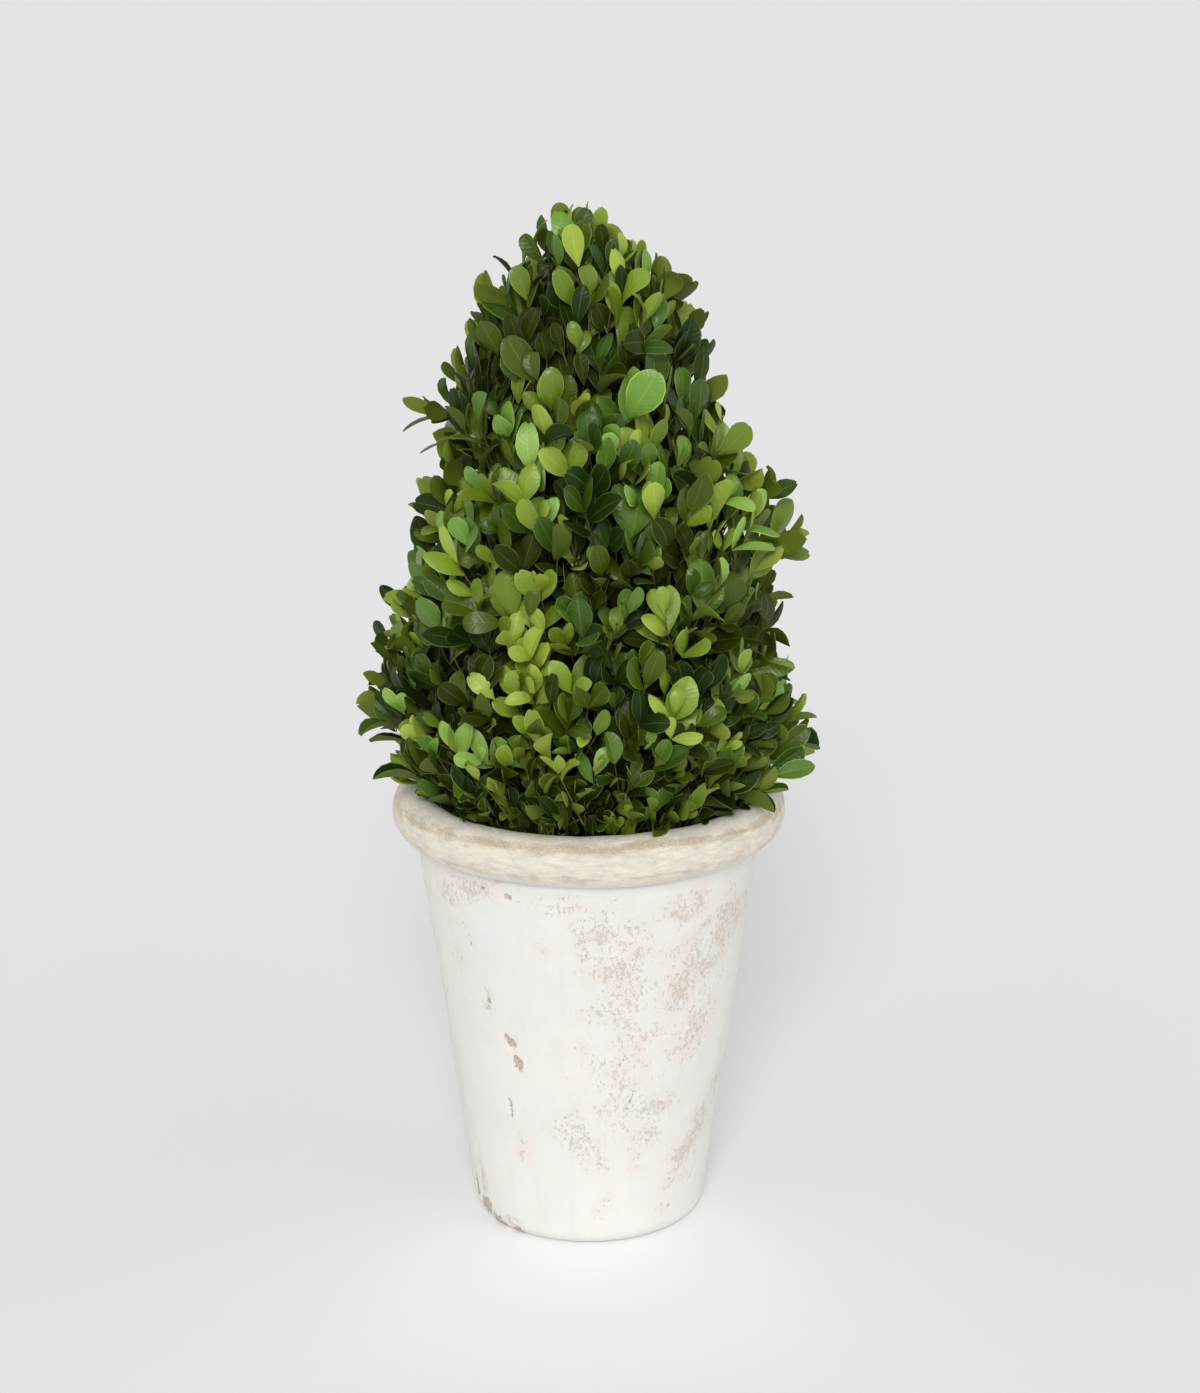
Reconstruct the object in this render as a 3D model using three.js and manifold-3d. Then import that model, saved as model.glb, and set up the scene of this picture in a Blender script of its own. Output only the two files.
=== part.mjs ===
// A boxwood clipped to a blunt cone, growing in a limewashed clay pot with a rolled rim.
//
// Units are millimetres and +Z is up. The origin is the centre of the pot's flat underside.
// The front faces -Y. An azimuth is measured from +X towards +Y, so -90 degrees is the front.
//
// The pot holds a plug of soil. A leader stem stands in the soil and runs up a bare core inside
// the crown. Boughs leave it, cross the core and end where they enter the masses of foliage.
// The masses lie in three rings round the core, and a cap closes it at the tip.
import * as THREE from 'three';
import { mergeVertices } from 'three/addons/utils/BufferGeometryUtils.js';
import Module from 'manifold-3d';

const wasm = await Module();
wasm.setup();

// ---------------------------------------------------------------- driving dimensions
const GAP = 0.3; // clearance between solids that touch in the real plant

// The pot: a straight tapered wall under a rolled rim, whose section is an ellipse.
const POT_HEIGHT = 200;
const POT_SIDES = 48;
const BASE_RADIUS = 52;
const BASE_CORNER = 3; // rounding of the foot's edge
const NECK_RADIUS = 76; // outside of the wall where it meets the rim
const WALL = 8;
const FLOOR = 9;
const FLOOR_FILLET = 4;
const RIM_RADIUS = 77; // from the axis to the middle of the rim's section
const RIM_HALF_WIDTH = 10;
const RIM_HALF_HEIGHT = 10.8;

const SOIL_TOP = 166;

// The leader stem, from its cut at the soil to where it enters the cap.
const STEM_SIDES = 10;
const STEM_FOOT_RADIUS = 7;
const STEM_TIP_RADIUS = 2.6;
const ROOT_FLARE = 5; // added to the foot's radius at soil level
const FLARE_HEIGHT = 12;
const STEM_BOW = 5; // how far it sways to the right and left of the axis
const STEM_LEAN = new THREE.Vector2(-3, 2); // where its tip ends, from the axis

// A bough runs from the stem to the inner face of one mass, and tapers all the way.
const BOUGH_SIDES = 8;
const BOUGH_START_RADIUS = 2.9;
const BOUGH_END_RADIUS = 1.7;
const BOUGH_SLIMMING = 0.7; // size of the highest boughs against the lowest
const BOUGH_ENTRY = 0.6; // how far up its mass a bough enters
const BOUGH_OVERRUN = 6; // how far it would run on past the mass's inner face
const BOUGH_SLOPE = 0.75; // rise for each millimetre of reach
const BOUGH_SAG = 0.16; // bulge of its curve, for each millimetre of reach
const BOUGH_STAGGER = 13; // neighbours leave the stem at heights up to this far apart

// The masses of foliage. Their outer faces lie at the leaf tips.
const SEAM_GAP = 1.2; // between neighbouring masses
const SEAM_GROOVE = 2.2; // how far a mass's face falls back along its edges
const SEAM_WANDER = 4; // how far a seam strays from a straight line
const RING_RISE = 9; // a ring's upper and lower faces climb this much on their way out
const CORE_LOW_RADIUS = 36; // the bare core round the stem, at the foot of the crown
const CORE_HIGH_RADIUS = 13; // and under the cap
const MASS_COLUMNS = 6;
const CAP_SIDES = 24;
const CAP_ROWS = 8;

// The rings, from the pot upwards: how many masses each has, the azimuth of the first seam,
// and the heights at which the masses' faces bend.
const RINGS = [
  { name: 'skirt', masses: 6, turn: -115, levels: [178, 196.5, 203, 211, 224, 239, 253, 266] },
  { name: 'middle', masses: 5, turn: -84, levels: [266, 277, 288, 300, 313, 325, 336] },
  { name: 'upper', masses: 4, turn: -128, levels: [336, 346, 356, 367, 378, 388, 398] },
];
const CROWN_LOW = 178;
const CAP_LOW = 398;
const CROWN_TOP = 458;

// The crown's clipped outline: [height, radius]. Its foot sits inside the pot's mouth.
const OUTLINE = [
  [CROWN_LOW, 56], [196, 64], [203, 77], [211, 87], [224, 93.5], [240, 95.5], [265, 91],
  [300, 83], [336, 73], [370, 61.5], [396, 51.5], [421, 40], [438, 30], [447, 23],
  [455, 13], [CROWN_TOP, 3],
];

// Where the clipped face stands out (+) or falls back (-), as a smooth swelling round a point.
const SWELL_BREADTH = 50;
const SWELLS = [
  { azimuth: 0, height: 208, out: 8, tall: 15 },
  { azimuth: 0, height: 249, out: -5, tall: 12 },
  { azimuth: 0, height: 320, out: 8, tall: 18 },
  { azimuth: 0, height: 378, out: -5, tall: 17 },
  { azimuth: 180, height: 206, out: -3, tall: 12 },
  { azimuth: 180, height: 238, out: 4, tall: 16 },
  { azimuth: 180, height: 290, out: 4, tall: 10 },
  { azimuth: 180, height: 308, out: -4, tall: 12 },
  { azimuth: 180, height: 344, out: -5, tall: 16 },
  { azimuth: 180, height: 368, out: 4, tall: 12 },
  { azimuth: -60, height: 250, out: 3, tall: 30 },
  { azimuth: 75, height: 300, out: 5, tall: 26 },
  { azimuth: 120, height: 230, out: 4, tall: 28 },
  { azimuth: 100, height: 360, out: -4, tall: 22 },
];

// Smaller clumps all over it, as waves that run round the crown and climb as they go.
const CLUMP_DEPTH = 0.9;
const CLUMPS = [
  { around: 5, climb: 0.11, phase: 0 },
  { around: 7, climb: -0.17, phase: 1.3 },
  { around: 11, climb: 0.23, phase: 2.1 },
];
const UNEVEN_FROM = 200; // below this the crown is held round by the rim
const UNEVEN_FULL = 216;
const TIP_FROM = 425; // above this the unevenness dies away towards the tip

// ---------------------------------------------------------------- materials
const finish = (color, roughness) => new THREE.MeshStandardMaterial({ color, roughness });
const clay = finish(0xe6e0d4, 0.85);
const soil = finish(0x2b2119, 1);
const bark = finish(0x6b5c45, 0.9);
const leaves = { skirt: finish(0x4a6b2c, 0.5), middle: finish(0x5d8a34, 0.5), upper: finish(0x36502a, 0.45) };

// ---------------------------------------------------------------- helpers
const radians = THREE.MathUtils.degToRad;
const lerp = THREE.MathUtils.lerp;
const smooth = THREE.MathUtils.smoothstep;
const share = (value, low, high) => (value - low) / (high - low);
const onAxis = (height) => new THREE.Vector3(0, 0, height);

/** Where a smooth line through [height, value] points is at a height. */
function along(points, height) {
  let i = 0;
  while (i < points.length - 2 && points[i + 1][0] <= height) i++;
  const [h0, v0] = points[Math.max(0, i - 1)];
  const [h1, v1] = points[i];
  const [h2, v2] = points[i + 1];
  const [h3, v3] = points[Math.min(points.length - 1, i + 2)];
  const t = THREE.MathUtils.clamp(share(height, h1, h2), 0, 1);
  const slopeIn = ((v2 - v0) / (h2 - h0)) * (h2 - h1);
  const slopeOut = ((v3 - v1) / (h3 - h1)) * (h2 - h1);
  const blend = t * t * (3 - 2 * t);
  const bend = t * (1 - t);
  return lerp(v1, v2, blend) + slopeIn * bend * (1 - t) - slopeOut * bend * t;
}

/** A geometry with shared vertices and nothing but its positions. */
function welded(geometry) {
  const plain = geometry.clone();
  plain.deleteAttribute('normal');
  plain.deleteAttribute('uv');
  return mergeVertices(plain, 1e-3);
}

/** A geometry whose vertices have each been moved by a function of their place. */
function reshaped(geometry, move) {
  const made = welded(geometry);
  const position = made.getAttribute('position');
  const v = new THREE.Vector3();
  for (let i = 0; i < position.count; i++) {
    v.fromBufferAttribute(position, i);
    move(v);
    position.setXYZ(i, v.x, v.y, v.z);
  }
  return made;
}

/** A closed profile of [radius, height] turned round the Z axis. */
function turned(profile, sides) {
  const points = profile.map(([radius, height]) => new THREE.Vector2(radius, height));
  return welded(new THREE.LatheGeometry(points, sides)).rotateX(Math.PI / 2);
}

function toSolid(geometry) {
  return new wasm.Manifold(new wasm.Mesh({
    numProp: 3,
    vertProperties: new Float32Array(geometry.getAttribute('position').array),
    triVerts: new Uint32Array(geometry.index.array),
  }));
}

function toGeometry(solid) {
  const mesh = solid.getMesh();
  return new THREE.BufferGeometry()
    .setAttribute('position', new THREE.BufferAttribute(mesh.vertProperties, 3))
    .setIndex(new THREE.BufferAttribute(mesh.triVerts, 1));
}

function part(name, geometry, material) {
  geometry.computeVertexNormals();
  const mesh = new THREE.Mesh(geometry, material);
  mesh.name = name;
  return mesh;
}

// ---------------------------------------------------------------- pot and soil
const RIM_MIDDLE = POT_HEIGHT - RIM_HALF_HEIGHT;
const NECK_HEIGHT = RIM_MIDDLE - RIM_HALF_HEIGHT - 1; // a narrow crease under the rim
const outerWall = (height) => lerp(BASE_RADIUS, NECK_RADIUS, share(height, 0, NECK_HEIGHT));
const innerWall = (height) => outerWall(height) - WALL;

/** Points on an ellipse, from one angle to another, in degrees upwards from straight out. */
function arc(radius, height, halfWidth, halfHeight, from, to, steps) {
  return Array.from({ length: steps + 1 }, (_, i) => {
    const angle = radians(lerp(from, to, i / steps));
    return [radius + halfWidth * Math.cos(angle), height + halfHeight * Math.sin(angle)];
  });
}

function makePot() {
  return turned([
    [0, 0],
    ...arc(BASE_RADIUS - BASE_CORNER, BASE_CORNER, BASE_CORNER, BASE_CORNER, -90, 0, 3),
    [NECK_RADIUS, NECK_HEIGHT],
    ...arc(RIM_RADIUS, RIM_MIDDLE, RIM_HALF_WIDTH, RIM_HALF_HEIGHT, -62, 190, 11),
    [innerWall(NECK_HEIGHT), NECK_HEIGHT - FLOOR_FILLET],
    [innerWall(FLOOR + FLOOR_FILLET), FLOOR + FLOOR_FILLET],
    [innerWall(FLOOR) - FLOOR_FILLET, FLOOR],
    [0, FLOOR],
  ], POT_SIDES);
}

/** The plug of soil that fills the pot, clear of its wall all round. */
function makeSoil() {
  const low = FLOOR + GAP;
  const clearance = 2 * GAP;
  return turned([
    [0, low],
    [innerWall(low) - FLOOR_FILLET - clearance, low],
    [innerWall(FLOOR + FLOOR_FILLET) - clearance, FLOOR + FLOOR_FILLET + GAP],
    [innerWall(SOIL_TOP) - clearance, SOIL_TOP],
    [0, SOIL_TOP],
  ], POT_SIDES);
}

// ---------------------------------------------------------------- stem
const STEM_LOW = SOIL_TOP + GAP;
const STEM_HIGH = CAP_LOW - GAP;
const STEM_ROWS = 15;

/** The middle of the stem at a height: it bows out one way, then comes back past the axis. */
function stemMiddle(height) {
  const t = THREE.MathUtils.clamp(share(height, STEM_LOW, STEM_HIGH), 0, 1);
  const bow = STEM_BOW * Math.sin(1.5 * Math.PI * t) * (1 - t / 2);
  return new THREE.Vector3(STEM_LEAN.x * t + bow, STEM_LEAN.y * t - bow / 2, height);
}

function stemRadius(height) {
  const taper = lerp(STEM_FOOT_RADIUS, STEM_TIP_RADIUS, share(height, STEM_LOW, STEM_HIGH));
  const flare = Math.max(0, 1 - (height - STEM_LOW) / FLARE_HEIGHT);
  return taper + ROOT_FLARE * flare * flare;
}

/** The stem, or a copy that is fatter all round by a clearance. Its rows close up at the flare. */
function makeStem(clearance = 0) {
  const profile = [[0, STEM_LOW - clearance]];
  for (let i = 0; i <= STEM_ROWS; i++) {
    const height = lerp(STEM_LOW, STEM_HIGH, (i / STEM_ROWS) ** 1.5);
    profile.push([stemRadius(height) + clearance, i === 0 ? height - clearance : height]);
  }
  profile.push([0, STEM_HIGH]);
  return reshaped(turned(profile, STEM_SIDES), (v) => v.add(stemMiddle(v.z).sub(onAxis(v.z))));
}

// ---------------------------------------------------------------- crown
const coreRadius = (height) =>
  lerp(CORE_LOW_RADIUS, CORE_HIGH_RADIUS, share(height, CROWN_LOW, CAP_LOW));

/** The crown's outer radius at a height and an azimuth in radians. */
function crownRadius(height, azimuth) {
  const radius = along(OUTLINE, height);
  const loose = smooth(height, UNEVEN_FROM, UNEVEN_FULL) * (1 - smooth(height, TIP_FROM, CROWN_TOP));
  let stray = 0;
  for (const { azimuth: towards, height: middle, out, tall } of SWELLS) {
    const across = (2 * radius * Math.sin((azimuth - radians(towards)) / 2)) / SWELL_BREADTH;
    const up = (height - middle) / tall;
    stray += out * Math.exp(-across * across - up * up);
  }
  for (const { around, climb, phase } of CLUMPS) {
    stray += CLUMP_DEPTH * Math.sin(around * azimuth + climb * height + phase);
  }
  return radius + loose * stray;
}

/** The height of the seam at one end of a ring. A seam between rings rises and falls. */
function seamHeight(level, azimuth) {
  const between = level > CROWN_LOW && level < CAP_LOW;
  return level + (between ? SEAM_WANDER * Math.sin(3 * azimuth + level / 20) : 0);
}

/** The azimuth of the seam between two masses of a ring, which sways on its way up. */
function seamAzimuth(ring, index, up) {
  const number = index % ring.masses;
  const straight = radians(ring.turn) + (2 * Math.PI * index) / ring.masses;
  const sway = Math.sin(5 * up + 2.4 * number) * Math.sin(Math.PI * up);
  return straight + (SEAM_WANDER * sway) / along(OUTLINE, ring.levels[3]);
}

/** One mass of a ring: a block whose faces are bent to the mass's share of the crown. */
function makeMass(ring, index) {
  const { levels } = ring;
  const rows = levels.length - 1;
  const [low, high] = [levels[0], levels[rows]];
  const onFoot = low === CROWN_LOW; // the lowest masses have a flat underside, with no groove
  const block = new THREE.BoxGeometry(1, 1, rows, MASS_COLUMNS, 2, rows);
  return reshaped(block, (v) => {
    const [turn, out, row] = [0.5 - v.x, v.y + 0.5, Math.round(v.z + rows / 2)];
    const up = row / rows;
    const middle = lerp(seamAzimuth(ring, index, up), seamAzimuth(ring, index + 1, up), turn);
    const seamShift = lerp(seamHeight(low, middle) - low, seamHeight(high, middle) - high, up);
    const climb = RING_RISE * out * (onFoot ? smooth(up, 0.4, 1) : 1);
    const inset = (Number(row === 0) - Number(row === rows)) * (SEAM_GAP / 2);
    const height = levels[row] + seamShift + climb + inset;
    const nearSide = Math.abs(2 * turn - 1);
    const nearEnd = onFoot && up < 0.5 ? 0 : Math.abs(2 * up - 1);
    const groove = SEAM_GROOVE * Math.max(nearSide, nearEnd) ** 5;
    const radius = lerp(coreRadius(height), crownRadius(height, middle) - groove, out);
    const azimuth = middle + ((SEAM_GAP / 2) * (1 - 2 * turn)) / radius;
    v.set(radius * Math.cos(azimuth), radius * Math.sin(azimuth), height);
  });
}

/** The mass that closes the crown at its tip. Its underside climbs outwards, as the rings do. */
function makeCap() {
  const low = CAP_LOW + SEAM_GAP / 2;
  const shoulder = low + RING_RISE;
  const profile = [[0, low], [coreRadius(CAP_LOW), low]];
  for (let i = 0; i < CAP_ROWS; i++) {
    const height = lerp(shoulder, CROWN_TOP, Math.sin((i / CAP_ROWS) * (Math.PI / 2)));
    profile.push([along(OUTLINE, height) - (i === 0 ? SEAM_GROOVE : 0), height]);
  }
  profile.push([0, CROWN_TOP]);
  return reshaped(turned(profile, CAP_SIDES), (v) => {
    if (v.z < shoulder - 1 || v.z > CROWN_TOP - 1) return;
    const swell = crownRadius(v.z, Math.atan2(v.y, v.x)) / along(OUTLINE, v.z);
    v.set(v.x * swell, v.y * swell, v.z);
  });
}

// ---------------------------------------------------------------- boughs
/** A round limb along a curve, tapering from one radius to another. */
function makeLimb(curve, startRadius, endRadius) {
  const rod = new THREE.CylinderGeometry(endRadius, startRadius, 1, BOUGH_SIDES, 4);
  const up = onAxis(1);
  return reshaped(rod, (v) => {
    const t = THREE.MathUtils.clamp(v.y + 0.5, 0, 1);
    const tangent = curve.getTangent(t);
    const side = new THREE.Vector3().crossVectors(tangent, up).normalize();
    const over = new THREE.Vector3().crossVectors(side, tangent);
    const [a, b] = [v.x, v.z];
    v.copy(curve.getPoint(t)).addScaledVector(side, a).addScaledVector(over, b);
  });
}

/** The room that boughs have: the bare core, clear of the masses round it and of the stem. */
function makeBoughRoom() {
  const low = CROWN_LOW - 4;
  const clearance = 2 * GAP;
  const core = turned([
    [0, low],
    [coreRadius(low) - clearance, low],
    [coreRadius(STEM_HIGH) - clearance, STEM_HIGH],
    [0, STEM_HIGH],
  ], 36);
  return toSolid(core).subtract(toSolid(makeStem(GAP)));
}

/** A bough from the stem to the inner face of one mass, rising as it goes. */
function makeBough(ring, index, room) {
  const { levels } = ring;
  const azimuth = radians(ring.turn + (360 / ring.masses) * (index + 0.5));
  const out = new THREE.Vector3(Math.cos(azimuth), Math.sin(azimuth), 0);
  const entry = lerp(levels[0], levels[levels.length - 1], BOUGH_ENTRY);
  const reach = coreRadius(entry) + BOUGH_OVERRUN;
  const stagger = BOUGH_STAGGER * ((index * 0.618) % 1);
  const start = stemMiddle(entry - BOUGH_SLOPE * reach - stagger);
  const end = onAxis(entry).addScaledVector(out, reach);
  const bend = start.clone().lerp(end, 0.5).addScaledVector(out, BOUGH_SAG * reach);
  const curve = new THREE.QuadraticBezierCurve3(start, bend, end);
  const size = lerp(1, BOUGH_SLIMMING, share(entry, CROWN_LOW, CAP_LOW));
  const limb = makeLimb(curve, BOUGH_START_RADIUS * size, BOUGH_END_RADIUS * size);
  return toGeometry(toSolid(limb).intersect(room));
}

// ---------------------------------------------------------------- assembly
const topiary = new THREE.Group();
topiary.add(part('pot', makePot(), clay));
topiary.add(part('soil', makeSoil(), soil));
topiary.add(part('stem', makeStem(), bark));

const room = makeBoughRoom();
for (const ring of RINGS) {
  for (let i = 0; i < ring.masses; i++) {
    topiary.add(part(`bough_${ring.name}_${i + 1}`, makeBough(ring, i, room), bark));
    topiary.add(part(`foliage_${ring.name}_${i + 1}`, makeMass(ring, i), leaves[ring.name]));
  }
}
topiary.add(part('foliage_tip', makeCap(), leaves.upper));

export default topiary;
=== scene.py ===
"""The looks of a boxwood clipped to a blunt cone, in a limewashed clay pot with a rolled rim.

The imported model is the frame: its pot, soil, stem and boughs give the places and sizes of the
finer pieces that stand for them. Each mass of foliage becomes a tree of twigs that grows on from
its bough, and every twig ends in a sprig of leaves whose tips lie at the mass's clipped face.
Everything random comes from one seeded generator.
"""
import math

import bpy
import numpy as np
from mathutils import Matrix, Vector, kdtree, noise


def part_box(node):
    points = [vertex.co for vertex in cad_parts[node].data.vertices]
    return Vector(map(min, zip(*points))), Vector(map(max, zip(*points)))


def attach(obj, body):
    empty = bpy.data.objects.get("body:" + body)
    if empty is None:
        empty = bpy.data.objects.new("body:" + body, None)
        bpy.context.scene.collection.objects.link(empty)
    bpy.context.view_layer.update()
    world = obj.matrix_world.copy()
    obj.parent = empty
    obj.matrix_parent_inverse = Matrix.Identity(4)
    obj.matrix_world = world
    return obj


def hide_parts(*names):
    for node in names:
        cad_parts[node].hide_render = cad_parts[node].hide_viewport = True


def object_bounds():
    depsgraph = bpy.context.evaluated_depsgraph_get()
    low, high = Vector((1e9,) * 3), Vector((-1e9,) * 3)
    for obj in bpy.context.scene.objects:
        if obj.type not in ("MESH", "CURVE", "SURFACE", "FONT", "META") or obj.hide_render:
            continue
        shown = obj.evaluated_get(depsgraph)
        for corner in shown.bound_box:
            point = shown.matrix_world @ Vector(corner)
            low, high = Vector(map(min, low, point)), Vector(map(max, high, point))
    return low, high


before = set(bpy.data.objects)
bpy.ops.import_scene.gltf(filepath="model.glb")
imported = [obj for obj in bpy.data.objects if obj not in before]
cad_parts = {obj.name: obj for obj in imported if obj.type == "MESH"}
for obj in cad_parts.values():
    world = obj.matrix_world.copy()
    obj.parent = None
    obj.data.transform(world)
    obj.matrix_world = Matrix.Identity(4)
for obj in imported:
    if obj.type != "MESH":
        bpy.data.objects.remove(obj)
cad_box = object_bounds()
rng = np.random.default_rng(20)
MM = 0.001

# -------------------- driving dimensions
# The pot, as in the CAD model. Its wall runs straight from the foot to the crease under the rim.
RIM_OUTSIDE, _, POT_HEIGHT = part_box("pot")[1]
RIM_HALF_WIDTH = 10 * MM
RIM_HALF_HEIGHT = 10.8 * MM
RIM_RADIUS = RIM_OUTSIDE - RIM_HALF_WIDTH
RIM_MIDDLE = POT_HEIGHT - RIM_HALF_HEIGHT
NECK_RADIUS = 76 * MM
NECK_HEIGHT = RIM_MIDDLE - RIM_HALF_HEIGHT - 1 * MM
BASE_RADIUS = 52 * MM
BASE_CORNER = 3 * MM
WALL = 8 * MM
FLOOR = 9 * MM
POT_STEP = 1.4 * MM  # spacing of its rows
POT_SIDES = 320

# The crown. The lowest leaves that show lie on the rim, and some sprigs stand in the pot's mouth.
CROWN_LOW = POT_HEIGHT
CROWN_HIGH = cad_box[1][2]
LOWEST_SPRIG = CROWN_LOW - 15 * MM
SHOOT_SPACING = 8.25 * MM  # between neighbouring sprigs where they reach the clipped face
SPRIG_LENGTH = 32 * MM
LEAF_LENGTH = 19.2 * MM
LEAF_WIDTH = 0.5  # of its length
LEAF_THICKNESS = 0.3 * MM  # on each side of its middle
GROOVE = 0.12 * MM  # along the midrib
NARROWEST = 0.3 * MM  # half the width of the stalk and of the tip
TWIG_RADIUS = 0.5 * MM


# -------------------- vectors and curves
UP = np.array([0, 0, 1.0])


def unit(v):
    return v / np.maximum(np.linalg.norm(v, axis=-1, keepdims=True), 1e-12)


def across(v, axis):
    """The part of v at right angles to axis, as a unit vector."""
    return unit(v - (v * axis).sum(-1, keepdims=True) * axis)


def turned(v, axis, angle):
    """v turned about a unit axis, row by row."""
    c, s = np.cos(angle)[..., None], np.sin(angle)[..., None]
    return v * c + np.cross(axis, v) * s + axis * (axis * v).sum(-1, keepdims=True) * (1 - c)


def smooth(value, low, high):
    t = np.clip((value - low) / (high - low), 0, 1)
    return t * t * (3 - 2 * t)


def bell(value, middle, width):
    """1 at the middle, and less and less on both sides of it."""
    return np.exp(-(((value - middle) / width) ** 2))


def bezier(a, b, c, d, steps):
    t = np.linspace(0, 1, steps)[:, None]
    return a * (1 - t) ** 3 + 3 * b * t * (1 - t) ** 2 + 3 * c * t * t * (1 - t) + d * t**3


# -------------------- meshes
def placed(name, data):
    """A new object, put in the scene."""
    made = bpy.data.objects.new(name, data)
    bpy.context.scene.collection.objects.link(made)
    return made


class Heap:
    """Vertices and four-sided faces that are gathered here and become one mesh."""

    def __init__(self):
        self.points, self.quads, self.slots, self.marks, self.count = [], [], [], [], 0

    def add(self, points, quads, slots=0, marks=None):
        self.points.append(points)
        self.quads.append(quads + self.count)
        self.slots.append(np.broadcast_to(slots, len(quads)))
        if marks is not None:
            self.marks.append(marks)
        self.count += len(points)

    def rings(self, points):
        """Adds the surface that joins closed rings of points, given as [ring, side]."""
        self.add(points.reshape(-1, 3), grid(*points.shape[:2], closed=True))

    def piece(self, name, materials, sharp=None):
        points, quads = np.concatenate(self.points), np.concatenate(self.quads)
        mesh = bpy.data.meshes.new(name)
        mesh.vertices.add(len(points))
        mesh.vertices.foreach_set("co", points.astype(np.float32).ravel())
        mesh.loops.add(quads.size)
        mesh.loops.foreach_set("vertex_index", quads.astype(np.int32).ravel())
        mesh.polygons.add(len(quads))
        mesh.polygons.foreach_set("loop_start", np.arange(0, quads.size, 4, dtype=np.int32))
        mesh.polygons.foreach_set("material_index", np.concatenate(self.slots).astype(np.int32))
        mesh.update(calc_edges=True)
        mesh.shade_smooth()
        if sharp:
            mesh.set_sharp_from_angle(angle=math.radians(sharp))
        for made in materials:
            mesh.materials.append(made)
        if self.marks:
            layer = mesh.attributes.new("blade", "FLOAT_VECTOR", "POINT")
            layer.data.foreach_set("vector", np.concatenate(self.marks).astype(np.float32).ravel())
        return placed(name, mesh)


def ringed(name, points, material):
    """A piece made of closed rings of points."""
    heap = Heap()
    heap.rings(points)
    return heap.piece(name, [material])


def grid(rows, columns, closed=False):
    """The faces of a grid of points, row after row. A closed one joins its last column to its first."""
    row, column = np.meshgrid(np.arange(rows - 1), np.arange(columns - (not closed)), indexing="ij")
    a = (row * columns + column).ravel()
    b = (row * columns + (column + 1) % columns).ravel()
    return np.stack([a, b, b + columns, a + columns], axis=1)


def tube(line, radii, sides, relief=None):
    """Rings of points round a line. relief gives how far each one stands out."""
    tangent = unit(np.gradient(line, axis=0))
    side = np.empty_like(line)
    last = across(np.array([0.31, 0.95, 0.07]), tangent[0])
    for i, way in enumerate(tangent):
        last = across(last, way)
        side[i] = last
    over = np.cross(tangent, side)
    turn = np.linspace(0, 2 * np.pi, sides, endpoint=False)
    out = side[:, None] * np.cos(turn)[None, :, None] + over[:, None] * np.sin(turn)[None, :, None]
    radii = np.broadcast_to(radii, len(line))[:, None]
    if relief is not None:
        radii = radii + relief(radii, turn[None, :], len(line), sides)
    return line[:, None] + out * radii[..., None]


def node_points(name):
    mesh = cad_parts[name].data
    points = np.empty(3 * len(mesh.vertices))
    mesh.vertices.foreach_get("co", points)
    return points.reshape(-1, 3)


def node_faces(name):
    """The corners, the outward normal and the area of each face of a CAD node."""
    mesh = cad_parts[name].data
    mesh.calc_loop_triangles()
    corners = np.empty(3 * len(mesh.loop_triangles), dtype=np.int32)
    mesh.loop_triangles.foreach_get("vertices", corners)
    a, b, c = node_points(name)[corners.reshape(-1, 3)].transpose(1, 0, 2)
    normal = np.cross(b - a, c - a)
    return (a, b, c), unit(normal), np.linalg.norm(normal, axis=1) / 2


def nodes_named(start):
    return sorted(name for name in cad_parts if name.startswith(start))


# -------------------- materials
def rgb(red, green, blue):
    """A colour given as it looks on a screen, from 0 to 255, as the shader wants it."""
    share = np.array([red, green, blue]) / 255
    linear = np.where(share <= 0.04045, share / 12.92, ((share + 0.055) / 1.055) ** 2.4)
    return (*linear, 1.0)


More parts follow.
